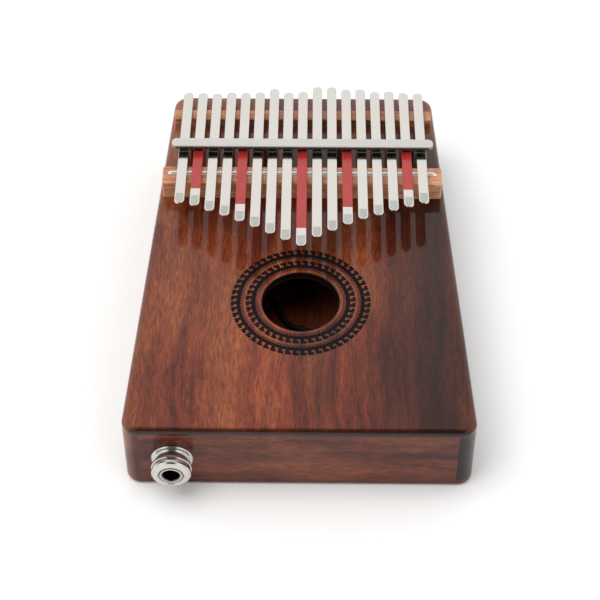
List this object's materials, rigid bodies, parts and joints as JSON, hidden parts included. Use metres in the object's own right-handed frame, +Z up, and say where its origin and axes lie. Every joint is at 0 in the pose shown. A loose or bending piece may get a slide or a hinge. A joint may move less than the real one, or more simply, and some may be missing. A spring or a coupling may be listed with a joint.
{
  "type": "box kalimba",
  "caption": "Hollow tapered wooden box kalimba with parallel steel tines under a pressure bar, a round sound hole, a contact pickup and an output jack.",
  "frame": {"origin": "centre of the flat underside of the box, where it rests on a table", "axes": "+X to the right, +Y from the jack end to the head, +Z up out of the top plate"},
  "size_m": [0.1332, 0.1946, 0.0502],
  "materials": {
    "top_wood": "high-gloss lacquer, straight dark-streaked grain along the length",
    "side_wood": "high-gloss lacquer, darker strips",
    "end_wood": "gloss lacquer, grain across the width",
    "bridge_wood": "satin lacquer, light brown",
    "block_wood": "raw sawn hardwood",
    "steel_rod": "polished round rod",
    "bar_steel": "satin nickel plate",
    "screw_steel": "dark zinc plate",
    "tine_steel": "polished spring steel",
    "tine_red": "matte red paint, bare steel at the tip",
    "jack_nickel": "turned, satin nickel plate",
    "jack_plastic": "moulded insulator",
    "contact_brass": "bright brass sheet",
    "ceramic": "silvered ceramic disc",
    "lead_jacket": "soft black jacket"
  },
  "bodies": {
    "root": {"top_plate": "top_wood", "left_side": "side_wood", "right_side": "side_wood", "front_wall": "end_wood", "head_wall": "end_wood", "back_plate": "end_wood", "front_bridge": "bridge_wood", "rear_rest": "bridge_wood", "clamp_block": "block_wood", "saddle_rod": "steel_rod", "pressure_bar": "bar_steel", "clamp_screws": "screw_steel", "clamp_washers": "screw_steel", "jack_collar": "jack_nickel", "jack_end_cap": "jack_nickel", "jack_barrel": "jack_nickel", "jack_washer": "jack_nickel", "jack_nut": "jack_nickel", "jack_insulator": "jack_plastic", "jack_tip_contact": "contact_brass", "jack_lugs": "contact_brass", "piezo_disc": "contact_brass", "piezo_ceramic": "ceramic", "pickup_lead": "lead_jacket"},
    "tine_01": {"tine_01_tail": "tine_steel"},
    "tine_01_tip": {"tine_01_tongue": "tine_steel"},
    "tine_02": {"tine_02_tail": "tine_steel"},
    "tine_02_tip": {"tine_02_tongue": "tine_red"},
    "tine_03": {"tine_03_tail": "tine_steel"},
    "tine_03_tip": {"tine_03_tongue": "tine_steel"},
    "tine_04": {"tine_04_tail": "tine_steel"},
    "tine_04_tip": {"tine_04_tongue": "tine_steel"},
    "tine_05": {"tine_05_tail": "tine_steel"},
    "tine_05_tip": {"tine_05_tongue": "tine_red"},
    "tine_06": {"tine_06_tail": "tine_steel"},
    "tine_06_tip": {"tine_06_tongue": "tine_steel"},
    "tine_07": {"tine_07_tail": "tine_steel"},
    "tine_07_tip": {"tine_07_tongue": "tine_steel"},
    "tine_08": {"tine_08_tail": "tine_steel"},
    "tine_08_tip": {"tine_08_tongue": "tine_steel"},
    "tine_09": {"tine_09_tail": "tine_steel"},
    "tine_09_tip": {"tine_09_tongue": "tine_red"},
    "tine_10": {"tine_10_tail": "tine_steel"},
    "tine_10_tip": {"tine_10_tongue": "tine_steel"},
    "tine_11": {"tine_11_tail": "tine_steel"},
    "tine_11_tip": {"tine_11_tongue": "tine_steel"},
    "tine_12": {"tine_12_tail": "tine_steel"},
    "tine_12_tip": {"tine_12_tongue": "tine_red"},
    "tine_13": {"tine_13_tail": "tine_steel"},
    "tine_13_tip": {"tine_13_tongue": "tine_steel"},
    "tine_14": {"tine_14_tail": "tine_steel"},
    "tine_14_tip": {"tine_14_tongue": "tine_steel"},
    "tine_15": {"tine_15_tail": "tine_steel"},
    "tine_15_tip": {"tine_15_tongue": "tine_steel"},
    "tine_16": {"tine_16_tail": "tine_steel"},
    "tine_16_tip": {"tine_16_tongue": "tine_red"},
    "tine_17": {"tine_17_tail": "tine_steel"},
    "tine_17_tip": {"tine_17_tongue": "tine_steel"}
  },
  "joints": [
    {"name": "tine_01_tuning", "type": "slide", "parent": "root", "child": "tine_01", "axis": [0, -0.9919, 0.1271], "range_m": [-0.002, 0.002]},
    {"name": "tine_01_pluck", "type": "hinge", "parent": "tine_01", "child": "tine_01_tip", "pos_m": [-0.04952, 0.03242, 0.0439], "axis": [1, 0, 0], "range_deg": [-6.04, 6.04], "stiffness_Nm_per_rad": 6.95},
    {"name": "tine_02_tuning", "type": "slide", "parent": "root", "child": "tine_02", "axis": [0, -0.9919, 0.1271], "range_m": [-0.002, 0.002]},
    {"name": "tine_02_pluck", "type": "hinge", "parent": "tine_02", "child": "tine_02_tip", "pos_m": [-0.04333, 0.03242, 0.0439], "axis": [1, 0, 0], "range_deg": [-5.6, 5.6], "stiffness_Nm_per_rad": 6.64},
    {"name": "tine_03_tuning", "type": "slide", "parent": "root", "child": "tine_03", "axis": [0, -0.9919, 0.1271], "range_m": [-0.002, 0.002]},
    {"name": "tine_03_pluck", "type": "hinge", "parent": "tine_03", "child": "tine_03_tip", "pos_m": [-0.03714, 0.03242, 0.0439], "axis": [1, 0, 0], "range_deg": [-4.78, 4.78], "stiffness_Nm_per_rad": 6},
    {"name": "tine_04_tuning", "type": "slide", "parent": "root", "child": "tine_04", "axis": [0, -0.9919, 0.1271], "range_m": [-0.002, 0.002]},
    {"name": "tine_04_pluck", "type": "hinge", "parent": "tine_04", "child": "tine_04_tip", "pos_m": [-0.03095, 0.03242, 0.0439], "axis": [1, 0, 0], "range_deg": [-4.25, 4.25], "stiffness_Nm_per_rad": 5.54},
    {"name": "tine_05_tuning", "type": "slide", "parent": "root", "child": "tine_05", "axis": [0, -0.9919, 0.1271], "range_m": [-0.002, 0.002]},
    {"name": "tine_05_pluck", "type": "hinge", "parent": "tine_05", "child": "tine_05_tip", "pos_m": [-0.02476, 0.03242, 0.0439], "axis": [1, 0, 0], "range_deg": [-3.76, 3.76], "stiffness_Nm_per_rad": 5.07},
    {"name": "tine_06_tuning", "type": "slide", "parent": "root", "child": "tine_06", "axis": [0, -0.9919, 0.1271], "range_m": [-0.002, 0.002]},
    {"name": "tine_06_pluck", "type": "hinge", "parent": "tine_06", "child": "tine_06_tip", "pos_m": [-0.01857, 0.03242, 0.0439], "axis": [1, 0, 0], "range_deg": [-3.37, 3.37], "stiffness_Nm_per_rad": 4.68},
    {"name": "tine_07_tuning", "type": "slide", "parent": "root", "child": "tine_07", "axis": [0, -0.9919, 0.1271], "range_m": [-0.002, 0.002]},
    {"name": "tine_07_pluck", "type": "hinge", "parent": "tine_07", "child": "tine_07_tip", "pos_m": [-0.01238, 0.03242, 0.0439], "axis": [1, 0, 0], "range_deg": [-3.02, 3.02], "stiffness_Nm_per_rad": 4.3},
    {"name": "tine_08_tuning", "type": "slide", "parent": "root", "child": "tine_08", "axis": [0, -0.9919, 0.1271], "range_m": [-0.002, 0.002]},
    {"name": "tine_08_pluck", "type": "hinge", "parent": "tine_08", "child": "tine_08_tip", "pos_m": [-0.00619, 0.03242, 0.0439], "axis": [1, 0, 0], "range_deg": [-2.73, 2.73], "stiffness_Nm_per_rad": 3.97},
    {"name": "tine_09_tuning", "type": "slide", "parent": "root", "child": "tine_09", "axis": [0, -0.9919, 0.1271], "range_m": [-0.002, 0.002]},
    {"name": "tine_09_pluck", "type": "hinge", "parent": "tine_09", "child": "tine_09_tip", "pos_m": [0, 0.03242, 0.0439], "axis": [1, 0, 0], "range_deg": [-2.52, 2.52], "stiffness_Nm_per_rad": 3.72},
    {"name": "tine_10_tuning", "type": "slide", "parent": "root", "child": "tine_10", "axis": [0, -0.9919, 0.1271], "range_m": [-0.002, 0.002]},
    {"name": "tine_10_pluck", "type": "hinge", "parent": "tine_10", "child": "tine_10_tip", "pos_m": [0.00619, 0.03242, 0.0439], "axis": [1, 0, 0], "range_deg": [-2.87, 2.87], "stiffness_Nm_per_rad": 4.13},
    {"name": "tine_11_tuning", "type": "slide", "parent": "root", "child": "tine_11", "axis": [0, -0.9919, 0.1271], "range_m": [-0.002, 0.002]},
    {"name": "tine_11_pluck", "type": "hinge", "parent": "tine_11", "child": "tine_11_tip", "pos_m": [0.01238, 0.03242, 0.0439], "axis": [1, 0, 0], "range_deg": [-3.18, 3.18], "stiffness_Nm_per_rad": 4.48},
    {"name": "tine_12_tuning", "type": "slide", "parent": "root", "child": "tine_12", "axis": [0, -0.9919, 0.1271], "range_m": [-0.002, 0.002]},
    {"name": "tine_12_pluck", "type": "hinge", "parent": "tine_12", "child": "tine_12_tip", "pos_m": [0.01857, 0.03242, 0.0439], "axis": [1, 0, 0], "range_deg": [-3.58, 3.58], "stiffness_Nm_per_rad": 4.9},
    {"name": "tine_13_tuning", "type": "slide", "parent": "root", "child": "tine_13", "axis": [0, -0.9919, 0.1271], "range_m": [-0.002, 0.002]},
    {"name": "tine_13_pluck", "type": "hinge", "parent": "tine_13", "child": "tine_13_tip", "pos_m": [0.02476, 0.03242, 0.0439], "axis": [1, 0, 0], "range_deg": [-4.02, 4.02], "stiffness_Nm_per_rad": 5.33},
    {"name": "tine_14_tuning", "type": "slide", "parent": "root", "child": "tine_14", "axis": [0, -0.9919, 0.1271], "range_m": [-0.002, 0.002]},
    {"name": "tine_14_pluck", "type": "hinge", "parent": "tine_14", "child": "tine_14_tip", "pos_m": [0.03095, 0.03242, 0.0439], "axis": [1, 0, 0], "range_deg": [-4.41, 4.41], "stiffness_Nm_per_rad": 5.68},
    {"name": "tine_15_tuning", "type": "slide", "parent": "root", "child": "tine_15", "axis": [0, -0.9919, 0.1271], "range_m": [-0.002, 0.002]},
    {"name": "tine_15_pluck", "type": "hinge", "parent": "tine_15", "child": "tine_15_tip", "pos_m": [0.03714, 0.03242, 0.0439], "axis": [1, 0, 0], "range_deg": [-4.99, 4.99], "stiffness_Nm_per_rad": 6.17},
    {"name": "tine_16_tuning", "type": "slide", "parent": "root", "child": "tine_16", "axis": [0, -0.9919, 0.1271], "range_m": [-0.002, 0.002]},
    {"name": "tine_16_pluck", "type": "hinge", "parent": "tine_16", "child": "tine_16_tip", "pos_m": [0.04333, 0.03242, 0.0439], "axis": [1, 0, 0], "range_deg": [-5.6, 5.6], "stiffness_Nm_per_rad": 6.64},
    {"name": "tine_17_tuning", "type": "slide", "parent": "root", "child": "tine_17", "axis": [0, -0.9919, 0.1271], "range_m": [-0.002, 0.002]},
    {"name": "tine_17_pluck", "type": "hinge", "parent": "tine_17", "child": "tine_17_tip", "pos_m": [0.04952, 0.03242, 0.0439], "axis": [1, 0, 0], "range_deg": [-6.38, 6.38], "stiffness_Nm_per_rad": 7.17}
  ]
}
